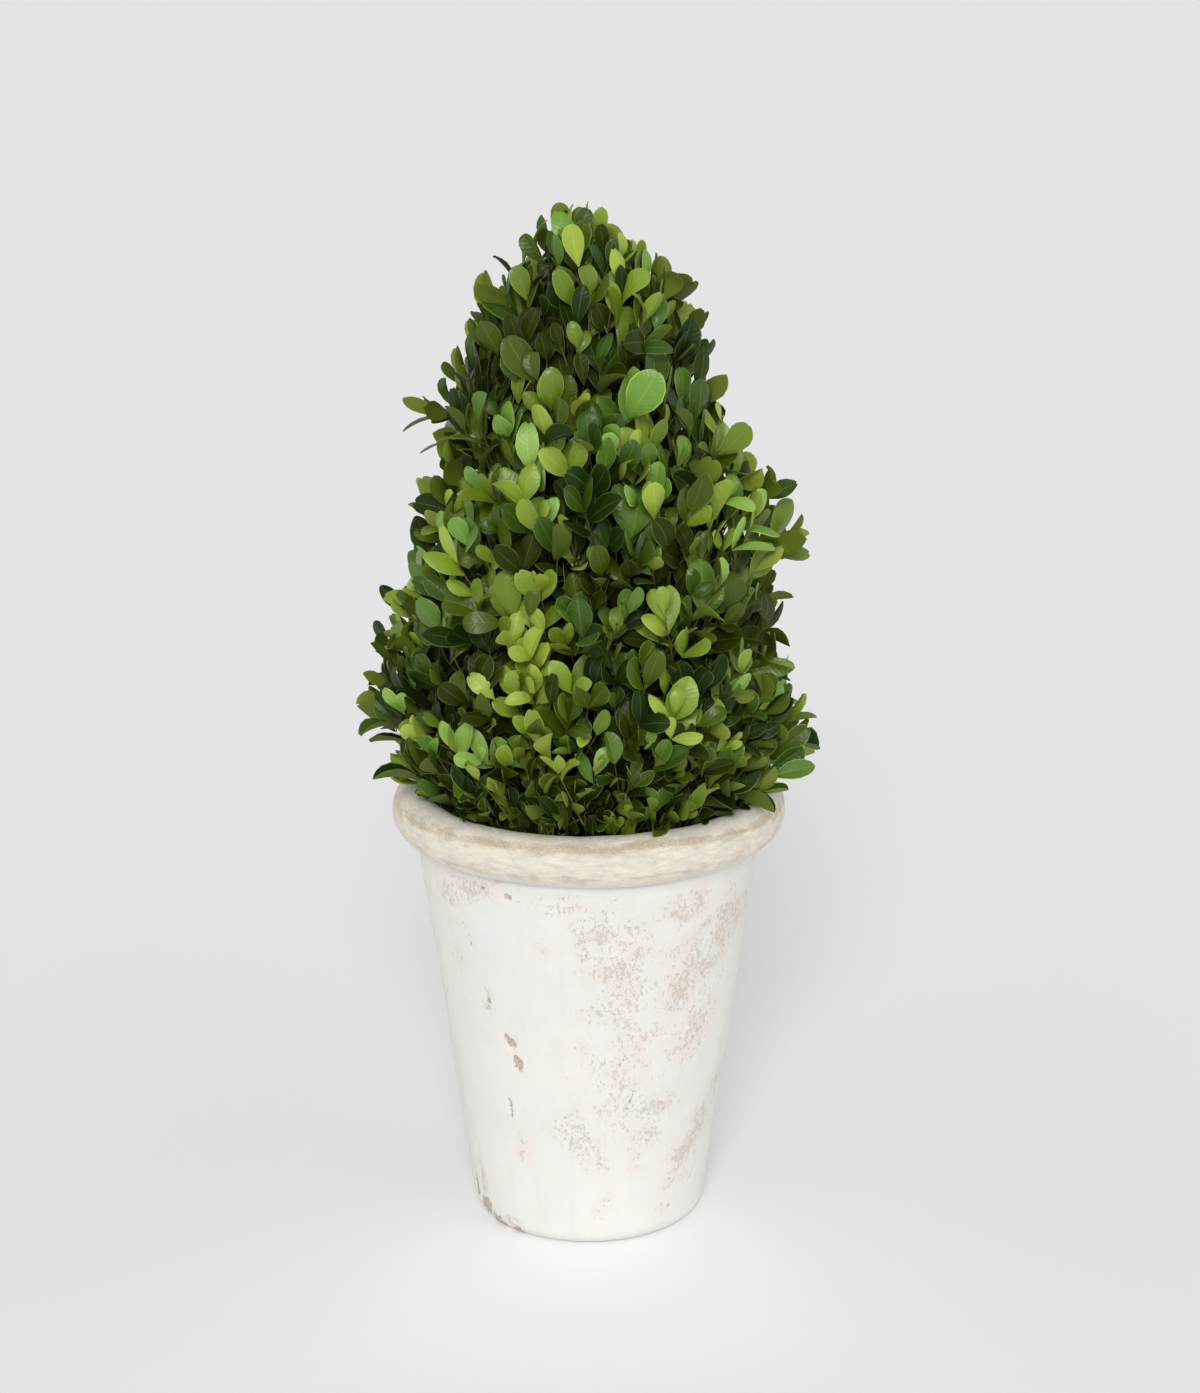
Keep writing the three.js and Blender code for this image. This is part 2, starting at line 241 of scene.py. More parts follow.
class Finish:
    """A material and its node tree. A socket takes a number, a colour or another node's output."""

    def __init__(self, name, roughness):
        self.material = bpy.data.materials.new(name)
        self.material.use_nodes = True
        self.tree = self.material.node_tree
        self.shader = self.tree.nodes["Principled BSDF"]
        self.shader.inputs["Roughness"].default_value = roughness

    def plug(self, socket, value):
        if isinstance(value, bpy.types.NodeSocket):
            self.tree.links.new(value, socket)
        else:
            socket.default_value = value

    def set(self, node, **sockets):
        for name, value in sockets.items():
            self.plug(node.inputs[name.replace("_", " ")], value)

    def add(self, kind, output=0, options=(), **sockets):
        node = self.tree.nodes.new(kind)
        for name, value in options:
            setattr(node, name, value)
        self.set(node, **sockets)
        return node.outputs[output]

    def finish(self, **sockets):
        self.set(self.shader, **sockets)
        return self.material

    def noise(self, scale, detail=4, stretch=(1, 1, 1), rough=0.55):
        """Cloudy noise with features about 1/scale metres wide."""
        where = self.add("ShaderNodeTexCoord", output="Object")
        place = self.add("ShaderNodeMapping", Vector=where, Scale=stretch)
        return self.add("ShaderNodeTexNoise", Vector=place, Scale=scale, Detail=detail, Roughness=rough)

    def painted(self, name, output="Fac"):
        """A number or a vector that the mesh holds for each of its points."""
        return self.add("ShaderNodeAttribute", output=output, options=[("attribute_name", name)])

    def math(self, operation, a, b):
        node = self.tree.nodes.new("ShaderNodeMath")
        node.operation = operation
        self.plug(node.inputs[0], a)
        self.plug(node.inputs[1], b)
        return node.outputs[0]

    def total(self, *parts):
        """The sum of some outputs, each given with its weight."""
        first, *others = (
            value if weight == 1 else self.math("MULTIPLY", value, weight) for value, weight in parts
        )
        for value in others:
            first = self.math("ADD", first, value)
        return first

    def ramp(self, value, low, high, start=0.0, end=1.0):
        """Goes smoothly from start to end while the value goes from low to high."""
        return self.add("ShaderNodeMapRange", options=[("interpolation_type", "SMOOTHSTEP")],
                        Value=value, From_Min=low, From_Max=high, To_Min=start, To_Max=end)

    def mix(self, share, a, b):
        node = self.tree.nodes.new("ShaderNodeMix")
        node.data_type = "RGBA"
        for number, value in ((0, share), (6, a), (7, b)):
            self.plug(node.inputs[number], value)
        return node.outputs[2]

    def bump(self, height, depth):
        return self.add("ShaderNodeBump", Height=height, Distance=depth, Strength=1.0)


def plain(name, colour, roughness, specular):
    return Finish(name, roughness).finish(Base_Color=colour, Specular_IOR_Level=specular)


# The leaves' upper sides, from the deepest green to the lightest, each level cool and then warm.
LEAF_TONES = [
    rgb(31, 50, 7), rgb(43, 54, 2),
    rgb(58, 84, 20), rgb(70, 87, 8),
    rgb(84, 118, 34), rgb(100, 122, 20),
    rgb(108, 151, 54), rgb(129, 154, 38),
    rgb(138, 176, 76), rgb(152, 174, 56),
]
LEAF_LEVELS = len(LEAF_TONES) // 2
LEAF_ROUGHNESS = [0.36, 0.33, 0.34, 0.38, 0.42]
LEAF_GLOSS = [0.14, 0.26, 0.44, 0.5, 0.5]
# Midribs and margins: the midrib's paler line, and margins that are paler both from the leaf's own pale
# edge and from a painted highlight where the edges catch light.
RIB_AND_LIT_MARGIN_TONES = [
    rgb(62, 78, 26), rgb(82, 104, 32), rgb(104, 132, 42), rgb(130, 164, 56), rgb(162, 190, 74),
]
UNDER_TONES = [rgb(84, 100, 28), rgb(110, 128, 38), rgb(142, 158, 58)]
SHADED_TONES = [rgb(29, 42, 7), rgb(45, 61, 9)]  # leaves deep inside: painted shade, dark and dull like the crown's shaded inside
VEIN_SPACING = 2.2 * MM
VEIN_SLANT = 0.8  # how far the veins run forwards for each step away from the midrib
VEIN_DEPTH = 0.2 * MM
RIB_AND_LIT_MARGIN_SLOT = len(LEAF_TONES)
UNDER_SLOT = RIB_AND_LIT_MARGIN_SLOT + len(RIB_AND_LIT_MARGIN_TONES)
SHADED_SLOT = UNDER_SLOT + len(UNDER_TONES)


def waxy(name, colour, roughness, gloss):
    """The upper side of a leaf: a plain colour, and fine veins that slant forwards from the midrib."""
    made = Finish(name, roughness)
    place = made.painted("blade", output="Vector")
    off_midrib, along, _ = made.add("ShaderNodeSeparateXYZ", Vector=place).node.outputs
    slant = made.math("SUBTRACT", along, made.math("MULTIPLY", off_midrib, VEIN_SLANT))
    veins = made.math("SINE", made.math("MULTIPLY", slant, 2 * math.pi / VEIN_SPACING), 0)
    height = made.total((veins, 0.1), (made.noise(300, detail=1), 1))
    return made.finish(Base_Color=colour, Specular_IOR_Level=gloss,
                       Normal=made.bump(height, VEIN_DEPTH))


def leaf_materials():
    made = [waxy(f"leaf_{i}", tone, LEAF_ROUGHNESS[i // 2], LEAF_GLOSS[i // 2])
            for i, tone in enumerate(LEAF_TONES)]
    made += [plain(f"rib_and_lit_margin_{i}", tone, 0.5, 0.4) for i, tone in enumerate(RIB_AND_LIT_MARGIN_TONES)]
    made += [plain(f"underside_{i}", tone, 0.6, 0.3) for i, tone in enumerate(UNDER_TONES)]
    return made + [plain(f"shaded_{i}", tone, 0.6, 0.05) for i, tone in enumerate(SHADED_TONES)]


def clay_material():
    """Limewash over tan clay: flecked through where it is worn, chipped in a few places."""
    made = Finish("limewashed_clay", 0.88)
    wear, chip, tan, rim = (made.painted(name) for name in ("wear", "chip", "tan", "rim"))
    broad = made.noise(22, detail=3)
    cloud = made.noise(95, detail=5, rough=0.6)
    fleck = made.noise(600, detail=4, rough=0.66, stretch=(1, 1, 0.62))
    band = made.noise(380, detail=5, rough=0.75, stretch=(0.3, 0.3, 1.3))
    grain = made.noise(1500, detail=3)
    streak = made.noise(160, detail=4, stretch=(1, 1, 0.16), rough=0.6)
    wash = made.mix(made.ramp(broad, 0.35, 0.65), rgb(227, 229, 225), rgb(232, 230, 225))
    wash = made.mix(made.ramp(streak, 0.5, 0.7, 0, 0.45), wash, rgb(222, 222, 213))

    cream = made.mix(made.ramp(cloud, 0.42, 0.58), rgb(225, 216, 199), rgb(212, 208, 194))
    cream = made.mix(made.ramp(band, 0.52, 0.62, 0, 0.45), cream, rgb(194, 180, 156))
    cream = made.mix(made.ramp(band, 0.48, 0.38, 0, 0.55), cream, rgb(237, 233, 222))
    inner = made.mix(made.ramp(fleck, 0.4, 0.6), rgb(200, 200, 187), rgb(224, 222, 211))
    cream = made.mix(made.ramp(rim, 1.1, 1.9), cream, inner)
    ragged = made.ramp(made.total((rim, 1), (fleck, 1.2)), 0.8, 1.35)
    wash = made.mix(ragged, wash, cream)

    grainy = made.ramp(grain, 0.4, 0.6)
    veil = made.math("MULTIPLY", made.math("ADD", wear, 0.25), made.ramp(cloud, 0.4, 0.6, 0.15, 0.6))
    colour = made.mix(veil, wash, rgb(230, 221, 211))
    worn = made.mix(grainy, rgb(221, 209, 193), rgb(207, 194, 175))
    loss = made.total((wear, 0.2), (cloud, 0.22))
    dots = made.total((fleck, 0.9), (grain, 0.6))
    flecks = made.ramp(made.math("ADD", loss, dots), 1.09, 1.2, 0, 0.62)
    colour = made.mix(flecks, colour, worn)

    ochre = made.mix(grainy, rgb(176, 157, 130), rgb(202, 187, 160))
    patchy = made.total((band, 1.6), (cloud, 1))
    tanned = made.ramp(made.math("ADD", tan, patchy), 1.6, 2.35, 0, 0.85)
    colour = made.mix(tanned, colour, ochre)

    bare = made.mix(grainy, rgb(204, 190, 174), rgb(176, 159, 139))
    chips = made.ramp(made.total((chip, 0.8), (cloud, 0.2), (fleck, 1.1)), 1.1, 1.28)
    colour = made.mix(chips, colour, bare)

    sandy = made.math("MULTIPLY", made.math("ADD", grain, fleck), 0.4)
    relief = made.math("SUBTRACT", sandy, made.math("ADD", flecks, chips))
    return made.finish(Base_Color=colour, Normal=made.bump(relief, 0.3 * MM))


def bark_material():
    made = Finish("boxwood_bark", 0.85)
    fissure = made.noise(700, detail=5, stretch=(1, 1, 0.25), rough=0.65)
    patch = made.noise(120, detail=3)
    colour = made.mix(made.ramp(fissure, 0.38, 0.62), rgb(70, 58, 42), rgb(140, 124, 96))
    colour = made.mix(made.ramp(patch, 0.5, 0.7, 0, 0.5), colour, rgb(112, 112, 78))
    return made.finish(Base_Color=colour, Normal=made.bump(fissure, 0.6 * MM))


def soil_material():
    made = Finish("potting_soil", 0.95)
    crumb = made.noise(420, detail=5, rough=0.7)
    colour = made.mix(made.ramp(crumb, 0.35, 0.7), rgb(34, 26, 19), rgb(82, 64, 47))
    return made.finish(Base_Color=colour, Normal=made.bump(crumb, 1 * MM))


# -------------------- pot
# Places where the limewash is worn, as [degrees right of the front, height, half width,
# half height, lean, strength], and in the same way where it is chipped to the clay.
WORN = [
    (9, 157, 19, 15, 0, 1.05), (11, 138, 15, 16, 0.2, 1.1), (10, 112, 16, 24, 0, 0.95),
    (16, 86, 15, 22, 0.2, 0.95), (25, 66, 17, 18, 0.4, 1.15), (21, 46, 12, 14, 0.3, 1.0),
    (37, 163, 12, 11, 0, 1.3), (55, 146, 22, 26, 0.1, 1.25), (38, 128, 20, 22, 0, 1.2),
    (46, 104, 14, 18, 0.2, 1.0), (50, 38, 14, 24, 0.5, 1.3), (66, 60, 10, 30, 0.3, 1.0),
    (-7, 53, 15, 17, 0, 1.1), (3, 40, 8, 8, 0, 1.0), (-37, 172, 12, 7, 0.5, 1.3),
    (-50, 168, 9, 9, 0, 1.1), (-8, 168, 16, 6, 0, 1.0), (-40, 116, 5, 10, 0.2, 0.95),
    (-16, 147, 4, 7, 0, 0.8), (-31, 45, 6, 10, 0, 0.85), (-60, 26, 4, 20, 0, 1.2),
    (-50, 4, 16, 5, 0, 1.3), (3, 14, 6, 8, 0.3, 0.8), (-54, 140, 7, 34, 0, 0.75),
    (96, 66, 19, 30, 0.2, 1.0), (118, 140, 21, 30, 0, 1.1), (150, 88, 19, 28, -0.3, 1.0),
    (172, 156, 24, 16, 0, 1.1), (-168, 44, 19, 28, 0.4, 1.1), (-138, 132, 20, 32, 0, 1.1),
    (-120, 60, 17, 28, 0.3, 1.0), (-92, 104, 15, 24, 0, 0.9), (135, 12, 19, 9, 0, 1.1),
    (-100, 164, 20, 9, 0, 1.0), (100, 166, 18, 9, 0, 1.0), (-112, 20, 14, 18, 0, 0.9),
]
CHIPPED = [
    (-32, 99, 2.6, 6, -0.4, 1.0), (-29, 88, 3.2, 6, -0.2, 1.0), (-34, 67, 1.1, 8, -0.1, 0.95),
    (-40, 117, 1.6, 5, 0, 0.8), (-46, 145, 0.9, 9, -0.5, 0.85), (42, 13, 2.6, 1.4, 0, 0.9),
    (-27, 170, 2.4, 2.4, 0, 0.9), (-54, 160, 0.8, 6, -0.4, 0.8), (-37, 172, 3, 1.6, 0.5, 0.75),
    (13, 92, 0.8, 9, 0.4, 0.8), (58, 26, 1.1, 12, 0.6, 0.75), (17, 72, 0.9, 9, 0.3, 0.75),
    (-62, 6, 7, 5, 0, 1.1), (-50, 3, 8, 3.6, 0, 1.1), (-38, 1.5, 6, 2.8, 0, 1.0),
    (-72, 12, 3, 7, 0, 1.0), (128, 104, 3, 9, 0.4, 0.95), (-150, 86, 3.4, 7, -0.3, 0.95),
    (165, 30, 4, 4, 0, 0.9), (-100, 22, 2.4, 11, 0.2, 0.9), (110, 1, 7, 1.6, 0, 0.9),
]
# Tan bands round the rim, as [degrees up from straight out, how far they drop towards the sides,
# half width in degrees, strength].
RIM_BANDS = [(46, 24, 17, 1.0), (-28, 0, 13, 0.55)]
LIP = 0.6 * MM  # the fine ridge under the rim
MIDDLE_RADIUS = 65  # of the wall, in mm, which turns degrees into widths
SOIL_RINGS = 44
SOIL_SIDES = 160
SOIL_DIP = 2 * MM  # how far the crumbs' middle lies below the top of the CAD's soil
SOIL_SKIRT = 12 * MM  # how far the skirt reaches below it
CRUMB = 1.6 * MM
# The unevenness of the pot's surface, coarse and fine, and of the soil, as [waves to a metre,
# roughness, lacunarity, octaves].
HANDMADE = [(16, 1.0, 2.0, 3), (90, 0.9, 2.1, 4)]
CRUMBLY = (180, 0.8, 2.1, 5)


def uneven(points, waves, *kind):
    made = [noise.fractal(Vector(point) * waves, *kind) for point in points.reshape(-1, 3)]
    return np.reshape(made, points.shape[:2])


def ellipse(radius, height, half_width, half_height, start, end):
    length = math.radians(abs(end - start)) * (half_width + half_height) / 2
    turn = np.radians(np.linspace(start, end, max(3, round(length / POT_STEP))))
    return np.stack([radius + half_width * np.cos(turn), height + half_height * np.sin(turn)], axis=1)


def straight(start, end, step=POT_STEP):
    steps = max(2, round(math.dist(start, end) / step))
    return np.linspace(start, end, steps, endpoint=False)[1:]


def pot_section():
    """Points of [radius, height] from the underside's middle, over the rim, to the floor's."""
    foot = BASE_RADIUS - BASE_CORNER
    neck = (NECK_RADIUS, NECK_HEIGHT)
    slope = (NECK_RADIUS - BASE_RADIUS) / NECK_HEIGHT
    corner_top = (BASE_RADIUS + slope * BASE_CORNER, BASE_CORNER)
    inside_neck = (NECK_RADIUS - WALL, NECK_HEIGHT - 4 * MM)
    inside_foot = (BASE_RADIUS + slope * FLOOR - WALL, FLOOR)
    corner = ellipse(foot, BASE_CORNER, BASE_CORNER, BASE_CORNER, -90, 0)
    rim = ellipse(RIM_RADIUS, RIM_MIDDLE, RIM_HALF_WIDTH, RIM_HALF_HEIGHT, -62, 190)
    coarse = 6 * MM
    return np.concatenate([
        [(0.1 * MM, 0)], straight((0, 0), (foot, 0), coarse), corner[:-1], straight(corner_top, neck),
        [neck], rim, straight(rim[-1], inside_neck), straight(inside_neck, inside_foot, coarse),
        straight(inside_foot, (0, FLOOR), coarse), [(0.1 * MM, FLOOR)],
    ])


def spots(places, degrees, height, stray):
    """How strongly each point lies in listed places, from 0 to about 1. stray bends their outlines."""
    most = np.zeros_like(height)
    for middle, level, wide, tall, lean, strength in places:
        turn = (degrees - middle + 180) % 360 - 180
        up = height / MM - level + stray * tall
        side = np.radians(turn) * MIDDLE_RADIUS - lean * up + stray * wide
        far = (side / wide) ** 2 + (up / tall) ** 2
        most = np.maximum(most, strength * np.exp(-(far**1.3)))
    return most


def rim_marks(radius, height, degrees, waves):
    """Which points are on the rim, more than 1 on its top and inside, and how tanned they are."""
    up = (height - RIM_MIDDLE) / RIM_HALF_HEIGHT
    around = np.degrees(np.arctan2(up, (radius - RIM_RADIUS) / RIM_HALF_WIDTH))
    on_rim = radius > RIM_RADIUS - RIM_HALF_WIDTH * 1.05
    rim = smooth(height, NECK_HEIGHT - 1 * MM, NECK_HEIGHT + 8 * MM) * on_rim
    rim *= 1 + smooth(around, 62, 88)
    tan = 0.1 * waves
    for middle, drop, wide, strength in RIM_BANDS:
        level = middle - drop * (1 - np.cos(np.radians(degrees))) + 12 * waves
        fading = 0.65 + 0.35 * np.cos(np.radians(degrees))
        tan += strength * fading * bell(around, level, wide)
    return rim, tan * (rim > 0.5)


def make_pot():
    section = pot_section()
    turn = np.linspace(0, 2 * np.pi, POT_SIDES, endpoint=False)
    radius = np.repeat(section[:, :1], POT_SIDES, axis=1)
    height = np.repeat(section[:, 1:], POT_SIDES, axis=1)
    outwards = unit(np.stack([np.gradient(section[:, 1]), -np.gradient(section[:, 0])], axis=1))
    degrees = np.degrees(turn)[None, :] + 0 * height
    sine, cosine = np.sin(turn)[None, :], np.cos(turn)[None, :]
    points = np.stack([radius * sine, -radius * cosine, height], axis=-1)
    waves, grain = (uneven(points, *kind) for kind in HANDMADE)
    worn = spots(WORN, degrees, height, 0.7 * waves + 0.5 * grain)
    chipped = spots(CHIPPED, degrees, height, 0.5 * grain)
    lift = 0.55 * waves + 0.22 * grain
    lift -= 0.2 * smooth(worn + 0.5 * grain, 0.3, 0.8)
    lift -= 0.4 * smooth(chipped + 0.25 * grain, 0.3, 0.6)
    lift *= smooth(height, 1 * MM, 8 * MM) * MM  # the underside stays flat
    below_rim = (height - NECK_HEIGHT) / MM + 2.2 - 1.2 * waves
    lift += LIP * bell(below_rim, 0, 1.3) * (radius > NECK_RADIUS - WALL / 2)
    points += np.stack([outwards[:, :1] * sine, -outwards[:, :1] * cosine, outwards[:, 1:] + 0 * sine],
                       axis=-1) * lift[..., None]
    rim, tan = rim_marks(radius, height, degrees, waves)
    piece = ringed("clay_pot", points, clay_material())
    for name, values in (("wear", worn), ("chip", chipped), ("tan", tan), ("rim", rim)):
        layer = piece.data.attributes.new(name, "FLOAT", "POINT")
        layer.data.foreach_set("value", np.clip(values, 0, 2).astype(np.float32).ravel())
    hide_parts("pot")
    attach(piece, "root")


def make_soil():
    """A crumbly top on a short skirt that stands inside the pot's wall."""
    reach, _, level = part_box("soil")[1]
    radius = np.concatenate([[0.1 * MM], np.linspace(1.5 * MM, reach, SOIL_RINGS)])
    turn = np.linspace(0, 2 * np.pi, SOIL_SIDES, endpoint=False)
    ring = np.stack([np.cos(turn), np.sin(turn), 0 * turn], axis=1)
    top = radius[::-1, None, None] * ring
    top[..., 2] = level - SOIL_DIP + CRUMB * uneven(top, *CRUMBLY)
    skirt = top[:1] * (0.995, 0.995, 0) + (0, 0, level - SOIL_SKIRT)
    piece = ringed("potting_soil", np.concatenate([skirt, top]), soil_material())
    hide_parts("soil")
    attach(piece, "root")


# -------------------- stem and boughs
STEM_STEP = 1.3 * MM
STEM_SIDES = 28
BOUGH_ROWS = 30
BOUGH_SIDES = 14
RIDGE = 0.16  # the height of the bark's ridges, as a share of the limb's radius
RIDGES_AROUND = 2.2  # half the distance through the noise from one side of a limb to the other
RIDGES_ALONG = 0.16  # the step through the noise from ring to ring


def bark_relief(radii, turn, rows, sides):
    """Shallow ridges that run along a limb, for each ring and side of its tube."""
    made = np.empty((rows, sides))
    for i in range(rows):
        for j in range(sides):
            x, y = math.cos(turn[0, j]) * RIDGES_AROUND, math.sin(turn[0, j]) * RIDGES_AROUND
            made[i, j] = noise.fractal(Vector((x, y, i * RIDGES_ALONG)), 0.7, 2.2, 4)
    return radii * RIDGE * made


def smooth_limb(points):
    """The middle line and the radii of a rising, gently bent limb whose surface has these points."""
    upwards = np.argsort(points[:, 2])
    start, end = points[upwards[:8]].mean(0), points[upwards[-8:]].mean(0)
    chord = end - start
    share = (points - start) @ chord / (chord @ chord)
    fits = [np.polyfit(share, side, 2) for side in points.T]
    centre = np.stack([np.polyval(fit, share) for fit in fits], axis=1)
    girth = np.polyfit(share, np.linalg.norm(points - centre, axis=1), 1)
    t = np.linspace(-0.08, 1.0, BOUGH_ROWS)  # from a little inside the stem
    line = np.stack([np.polyval(fit, t) for fit in fits], axis=1)
    return line, np.polyval(girth, t)


def make_stem(bark):
    """The stem in its bark, through the CAD stem's rings. Returns what make_bough returns."""
    points = node_points("stem")
    levels = np.unique(points[:, 2].round(5))
    rings = [points[np.abs(points[:, 2] - level) < 2e-5] for level in levels]
    middles = np.array([ring[:, :2].mean(0) for ring in rings])
    girths = [np.linalg.norm(ring[:, :2] - middle, axis=1).max()
              for ring, middle in zip(rings, middles)]
    height = np.arange(levels[0], levels[-1] + 16 * MM, STEM_STEP)
    line = np.stack([*(np.interp(height, levels, side) for side in middles.T), height], axis=1)
    for _ in range(6):
        line[1:-1, :2] = (line[:-2, :2] + line[2:, :2]) / 2
    radii = np.interp(height, levels, girths)
    radii[-1] = 0.2 * MM
    piece = ringed("stem_bark", tube(line, radii, STEM_SIDES, bark_relief), bark)
    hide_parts("stem")
    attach(piece, "root")
    return line[-1], unit(line[-1] - line[-6]), radii[-12]


def make_bough(name, bark):
    """A bough in its bark. Returns where it ends, which way it points there and how thick it is."""
    line, radii = smooth_limb(node_points(name))
    piece = ringed(name + "_bark", tube(line, radii, BOUGH_SIDES, bark_relief), bark)
    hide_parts(name)
    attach(piece, "root")
    return line[-1], unit(line[-1] - line[-4]), radii[-1]


# -------------------- shoots
# Places where the sprigs differ from their neighbours, as [degrees right of the front, height,
# reach, how much lighter, how much warmer], heights and reaches in mm.
TINTED = [
    (-18, 258, 20, 2.3, 1.0), (-15, 287, 13, 2.0, 1.0), (18, 376, 12, 1.8, -0.6),
    (-42, 262, 17, -0.8, 0.0), (6, 248, 14, -0.8, -0.1), (-12, 378, 11, 0.7, 0.8),
    (62, 332, 20, 1.3, 0.2), (-4, 436, 16, 1.0, 0.6), (2, 338, 24, 0.7, -0.4),
    (50, 275, 16, 0.9, 0.0), (35, 228, 30, 0.4, 0.2), (-45, 318, 18, 1.0, 0.0),
    (-62, 248, 30, -0.5, 0.0), (20, 240, 20, -0.8, -0.3), (-40, 380, 26, -0.8, 0.1),
    (48, 395, 26, -0.9, 0.0), (0, 395, 16, -0.4, 0.4), (-70, 412, 24, -0.5, -0.2),
    (10, 290, 16, -0.5, -0.4), (0, 206, 16, 0.5, 0.3), (150, 300, 30, 1.0, 0.5),
    (-140, 250, 26, 1.2, 0.8), (180, 380, 26, -0.8, 0.0), (120, 230, 30, -0.6, -0.3),
]
FACE_POINTS = 2600  # tried on each mass of foliage


def clipped_face(name):
    """Random points on the outer face of a mass of foliage, with the face's normal at each."""
    (a, b, c), normal, area = node_faces(name)
    middle = (a + b + c) / 3
    outwards = unit(middle * (1, 1, 0))
    is_tip = name == "foliage_tip"
    faces_out = (normal * outwards).sum(1) > (0.15 if is_tip else 0.3)
    faces_out |= is_tip & (normal[:, 2] > 0.3)
    shown = faces_out & (middle[:, 2] > LOWEST_SPRIG)
    chosen = rng.choice(np.flatnonzero(shown), size=FACE_POINTS, p=area[shown] / area[shown].sum())
    s, t = rng.random((2, FACE_POINTS, 1))
    s, t = np.where(s + t > 1, 1 - s, s), np.where(s + t > 1, 1 - t, t)
    return a[chosen] + (b - a)[chosen] * s + (c - a)[chosen] * t, normal[chosen]


def spread_out(points, spacing):
    """Which points to keep so that none is nearer to one kept before it than its own spacing."""
    kept = np.empty((0, 3))
    numbers = []
    for i, point in enumerate(points):
        if len(kept) == 0 or ((kept - point) ** 2).sum(1).min() > spacing[i] ** 2:
            kept = np.vstack([kept, point])
            numbers.append(i)
    return np.array(numbers)


# The sprigs that catch the eye, as [degrees right of the front, height, how far they stand out
# past the others, how steeply they rise in degrees, lightness, warmth, size, twist in degrees].
NOTABLE = [
    (20, 375, 5, 48, 3.3, 0, 1.3, 90), (-90, 363, 13, 5, 1.2, 0, 0.95, 0),
    (-90, 351, 9, 0, 1.8, 1, 0.85, 0), (88, 309, 9, 18, 2.7, 1, 1.1, 20),
    (89, 331, 8, 25, 1.2, 0, 1.0, 0), (-9, 450, 4, 85, 1.7, 0, 0.75, 60),
    (-74, 441, 3, 60, 2.3, 1, 1.0, 40), (4, 424, 4, 80, 2.1, 1, 0.85, 80),
    (-9, 409, 5, 68, 0.9, 0, 1.0, 0), (8, 396, 4, 80, 0.9, 0, 1.1, 0),
    (1, 335, 5, 74, 1.0, 0, 1.1, 0), (-50, 321, 5, 35, 2.4, 0, 1.1, 90),
    (40, 296, 5, 30, 3.0, 0, 1.0, 90), (72, 266, 3, 55, 3.0, 1, 1.05, 0),
    (25, 296, 4, 70, 3.8, 1, 0.9, 30), (59, 207, 10, 25, 1.0, 0, 1.1, 0),
    (-51, 219, 8, 20, 0.8, 1, 1.1, 0), (-39, 211, 6, 45, 0.8, 0, 0.9, 0),
    (84, 226, 3, 35, 2.2, 1, 1.1, 0), (-72, 230, 5, 35, 0.9, 0, 1.1, 0),
    (-64, 211, 9, 40, 0.1, 0, 1.25, 0), (46, 212, 8, 20, 1.1, 0, 1.05, 0),
    (64, 214, 10, 14, 1.3, 0, 1.1, 0), (78, 216, 9, 14, 2.0, 1, 1.1, 0),
    (90, 217, 5, 20, 0.8, 0, 1.0, 0), (-86, 247, 5, 22, 0.9, 1, 0.9, 0),
    (-85, 236, 5, 14, 1.2, 1, 0.85, 45), (-80, 224, 6, 32, 0.6, 0, 1.1, 0),
]
# How far behind the clipped face a sprig's stem ends, in mm, so that its leaves reach the face,
# and how much it varies.
USUAL_DEPTH = 14.5
DEPTH_VARIES = 2.6
# How steeply sprigs rise at the rim and at the top of the crown, in degrees, and how much it varies.
RISE_AT_RIM = 36
RISE_AT_TOP = 80
RISE_VARIES = 13
# The lightness of a usual leaf, where 0 to 4 are the levels of the leaves' tones.
USUAL_LIGHT = 1.75
LIGHT_VARIES = 1.3
BOW = 5 * MM  # how far the foot of a sprig lies below the line of its tip


def degrees_right(points):
    """How far round from the front each point lies, to the right."""
    return np.degrees(np.arctan2(points[:, 0], -points[:, 1]))


def under(points, low, high):
    """1 for points up to the first height over the rim and 0 from the second one up, both in mm."""
    return 1 - smooth(points[:, 2], CROWN_LOW + low * MM, CROWN_LOW + high * MM)


def near(places, points):
    """For each place in a list, the end of its row and how near each point is, from 0 to 1."""
    radius, degrees = np.hypot(points[:, 0], points[:, 1]) / MM, degrees_right(points)
    for middle, level, reach, *facts in places:
        side = np.radians((degrees - middle + 180) % 360 - 180) * radius
        yield facts, np.exp(-(side**2 + (points[:, 2] / MM - level) ** 2) / reach**2)


def sprig_places(masses):
    """Places on the clipped face, the notable ones first, with its normal and the mass's number."""
    face, normal = (np.concatenate(part) for part in zip(*map(clipped_face, masses)))
    mass = np.repeat(np.arange(len(masses)), FACE_POINTS)
    wanted = [(degrees, level, 12) for degrees, level, *_ in NOTABLE]
    first = [np.argmax(share) for _, share in near(wanted, face)]
    order = np.concatenate([first, rng.permutation(len(face))])
    spacing = SHOOT_SPACING * (1 - 0.3 * under(face, 0, 14))
    kept = order[spread_out(face[order], spacing[order])]
    return face[kept], normal[kept], mass[kept]


